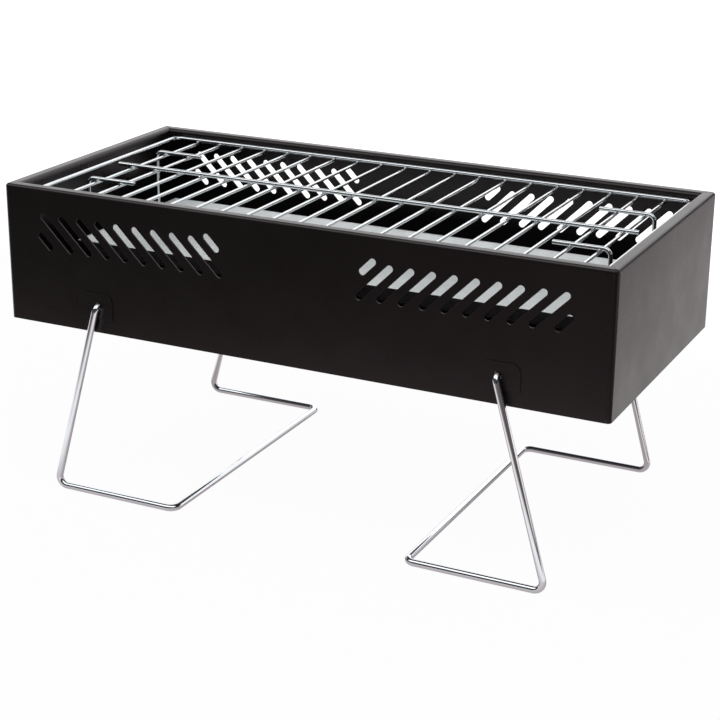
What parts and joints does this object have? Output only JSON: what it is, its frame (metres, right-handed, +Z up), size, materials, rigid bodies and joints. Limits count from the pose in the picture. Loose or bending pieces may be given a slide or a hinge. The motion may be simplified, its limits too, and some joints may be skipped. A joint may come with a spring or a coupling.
{
  "type": "folding camp grill",
  "caption": "Portable charcoal grill: shallow black firebox with slanted vents, a lift-out wire grid, a loose charcoal pan and two wire legs that fold over the top.",
  "frame": {"origin": "on the ground under the middle of the firebox, with the legs unfolded", "axes": "+X along the firebox to the right end, +Y to the back, +Z up; the front panel faces -Y"},
  "size_m": [0.46, 0.23, 0.2278],
  "materials": {
    "black_enamel": "satin black stove enamel on sheet steel",
    "leg_wire": "bright plated round wire",
    "grid_wire": "bright plated welded wire",
    "galvanised": "plain galvanised sheet",
    "cap_steel": "zinc plated push-on cap"
  },
  "bodies": {
    "firebox": {"front_panel": "black_enamel", "back_panel": "black_enamel", "left_end_panel": "black_enamel", "right_end_panel": "black_enamel", "floor_panel": "black_enamel"},
    "left_leg": {"left_leg": "leg_wire", "left_leg_caps": "cap_steel"},
    "right_leg": {"right_leg": "leg_wire", "right_leg_caps": "cap_steel"},
    "grid": {"grid_frame_wire": "grid_wire", "grid_bar_01": "grid_wire", "grid_bar_02": "grid_wire", "grid_bar_03": "grid_wire", "grid_bar_04": "grid_wire", "grid_bar_05": "grid_wire", "grid_bar_06": "grid_wire", "grid_bar_07": "grid_wire", "grid_bar_08": "grid_wire", "grid_bar_09": "grid_wire", "grid_bar_10": "grid_wire", "grid_bar_11": "grid_wire", "grid_bar_12": "grid_wire", "grid_bar_13": "grid_wire", "grid_bar_14": "grid_wire", "grid_bar_15": "grid_wire", "grid_bar_16": "grid_wire", "grid_bar_17": "grid_wire", "grid_bar_18": "grid_wire", "grid_bar_19": "grid_wire", "grid_bar_20": "grid_wire", "grid_centre_wire": "grid_wire", "grid_left_stand": "grid_wire", "grid_right_stand": "grid_wire"},
    "charcoal_pan": {"charcoal_pan": "galvanised", "pan_left_bracket": "black_enamel", "pan_right_bracket": "black_enamel"}
  },
  "joints": [
    {"name": "left_leg_fold", "type": "hinge", "parent": "firebox", "child": "left_leg", "pos_m": [-0.153, 0, 0.1468], "axis": [0, 1, 0], "range_deg": [-45, 260]},
    {"name": "right_leg_fold", "type": "hinge", "parent": "firebox", "child": "right_leg", "pos_m": [0.153, 0, 0.1468], "axis": [0, -1, 0], "range_deg": [-45, 260]},
    {"name": "grid_lift", "type": "slide", "parent": "firebox", "child": "grid", "axis": [0, 0, 1], "range_m": [0, 0.12]},
    {"name": "pan_lift", "type": "slide", "parent": "firebox", "child": "charcoal_pan", "axis": [0, 0, 1], "range_m": [0, 0.03]}
  ]
}
